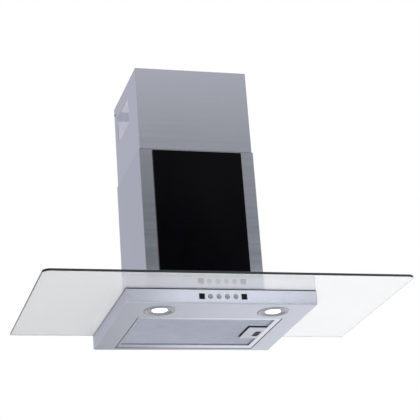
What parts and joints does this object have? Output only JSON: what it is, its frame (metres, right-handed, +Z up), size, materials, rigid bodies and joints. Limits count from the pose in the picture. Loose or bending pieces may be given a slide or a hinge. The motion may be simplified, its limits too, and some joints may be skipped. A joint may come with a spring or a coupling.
{
  "type": "range hood",
  "caption": "Wall-mounted chimney range hood with a flat glass canopy, telescoping steel chimney, push buttons, lamps and a latched grease filter.",
  "frame": {"origin": "middle of the hanging plate's back face, on the wall plane, 250 mm above the underside of the glass", "axes": "+X to the right seen from the front, along the glass; +Y into the wall, out of the hood's back; +Z up"},
  "size_m": [0.9, 0.52, 0.6826],
  "materials": {
    "brushed_steel": "fine horizontal brushing, cool tint",
    "galvanised": "dull zinc-coated sheet",
    "mesh": "expanded mesh, matt",
    "flap_metal": "mill finish",
    "black_glass": "polished, opaque black back-painted glass",
    "clear_glass": "clear toughened glass, dark green edge",
    "rubber": "matt",
    "black_plastic": "satin",
    "black_button": "polished",
    "silver_button": "polished rim, satin face",
    "white_plastic": "satin",
    "board": "solder mask",
    "lamp_lens": "diffusing lens, lit from behind",
    "lamp_metal": "satin",
    "lamp_body": "cast",
    "fastener": "zinc plated",
    "motor_paint": "satin black"
  },
  "bodies": {
    "hood": {"canopy_body": "brushed_steel", "front_fascia": "brushed_steel", "glass_gasket": "rubber", "glass_canopy": "clear_glass", "lower_chimney": "brushed_steel", "black_glass_panel": "black_glass", "motor_housing": "galvanised", "hanging_plate": "galvanised", "hanger_screw_left": "fastener", "hanger_screw_right": "fastener", "housing_screw_left": "fastener", "housing_screw_right": "fastener", "inlet_guard": "galvanised", "fan_scroll": "black_plastic", "motor": "motor_paint", "shaft_bearing_inner": "lamp_metal", "shaft_bearing_outer": "lamp_metal", "motor_bracket": "galvanised", "motor_bush_1": "rubber", "motor_bush_2": "rubber", "motor_bush_3": "rubber", "capacitor": "white_plastic", "capacitor_strap": "galvanised", "terminal_box": "black_plastic", "terminal_box_lid": "black_plastic", "terminal_block": "white_plastic", "cable_gland": "black_plastic", "outlet_collar": "black_plastic", "damper_pin": "fastener", "lamp_bezel_left": "lamp_metal", "lamp_bezel_right": "lamp_metal", "lamp_lens_left": "lamp_lens", "lamp_lens_right": "lamp_lens", "lamp_module_left": "lamp_body", "lamp_module_right": "lamp_body", "button_housing": "black_plastic", "control_board": "board", "glass_screw_1": "fastener", "glass_screw_2": "fastener", "glass_screw_3": "fastener", "glass_screw_4": "fastener"},
    "upper_cover": {"upper_chimney": "brushed_steel", "upper_bracket": "galvanised", "cover_screw_left": "fastener", "cover_screw_right": "fastener"},
    "filter": {"filter_frame": "brushed_steel", "filter_mesh": "mesh", "filter_latch_plate": "brushed_steel", "latch_spring": "fastener"},
    "latch": {"filter_latch": "black_plastic"},
    "fan_rotor": {"impeller": "black_plastic", "motor_shaft": "fastener"},
    "damper_left": {"damper_flap_left": "flap_metal"},
    "damper_right": {"damper_flap_right": "flap_metal"},
    "button_square_left_body": {"button_square_left": "black_button"},
    "button_round_1_body": {"button_round_1": "silver_button"},
    "button_round_2_body": {"button_round_2": "silver_button"},
    "button_round_3_body": {"button_round_3": "silver_button"},
    "button_round_4_body": {"button_round_4": "silver_button"},
    "button_square_right_body": {"button_square_right": "black_button"}
  },
  "joints": [
    {"name": "chimney_slide", "type": "slide", "parent": "hood", "child": "upper_cover", "axis": [0, 0, 1], "range_m": [-0.19, 0.12]},
    {"name": "filter_hinge", "type": "hinge", "parent": "hood", "child": "filter", "pos_m": [-0.1823, -0.1561, -0.2867], "axis": [0, 1, 0], "range_deg": [0, 70]},
    {"name": "latch_slide", "type": "slide", "parent": "filter", "child": "latch", "axis": [-1, 0, 0], "range_m": [0, 0.005], "stiffness_N_per_m": 300, "springref_m": -0.003, "deforming": ["latch_spring"]},
    {"name": "fan_spin", "type": "hinge", "parent": "hood", "child": "fan_rotor", "pos_m": [0, -0.13, -0.138], "axis": [1, 0, 0], "continuous": true},
    {"name": "damper_left_hinge", "type": "hinge", "parent": "hood", "child": "damper_left", "pos_m": [0, -0.1275, 0.022], "axis": [0, 1, 0], "range_deg": [0, 75]},
    {"name": "damper_right_hinge", "type": "hinge", "parent": "hood", "child": "damper_right", "pos_m": [0, -0.1275, 0.022], "axis": [0, -1, 0], "range_deg": [0, 75]},
    {"name": "button_square_left_press", "type": "slide", "parent": "hood", "child": "button_square_left_body", "axis": [0, 1, 0], "range_m": [0, 0.002], "stiffness_N_per_m": 400, "springref_m": -0.001},
    {"name": "button_round_1_press", "type": "slide", "parent": "hood", "child": "button_round_1_body", "axis": [0, 1, 0], "range_m": [0, 0.002], "stiffness_N_per_m": 400, "springref_m": -0.001},
    {"name": "button_round_2_press", "type": "slide", "parent": "hood", "child": "button_round_2_body", "axis": [0, 1, 0], "range_m": [0, 0.002], "stiffness_N_per_m": 400, "springref_m": -0.001},
    {"name": "button_round_3_press", "type": "slide", "parent": "hood", "child": "button_round_3_body", "axis": [0, 1, 0], "range_m": [0, 0.002], "stiffness_N_per_m": 400, "springref_m": -0.001},
    {"name": "button_round_4_press", "type": "slide", "parent": "hood", "child": "button_round_4_body", "axis": [0, 1, 0], "range_m": [0, 0.002], "stiffness_N_per_m": 400, "springref_m": -0.001},
    {"name": "button_square_right_press", "type": "slide", "parent": "hood", "child": "button_square_right_body", "axis": [0, 1, 0], "range_m": [0, 0.002], "stiffness_N_per_m": 400, "springref_m": -0.001}
  ]
}
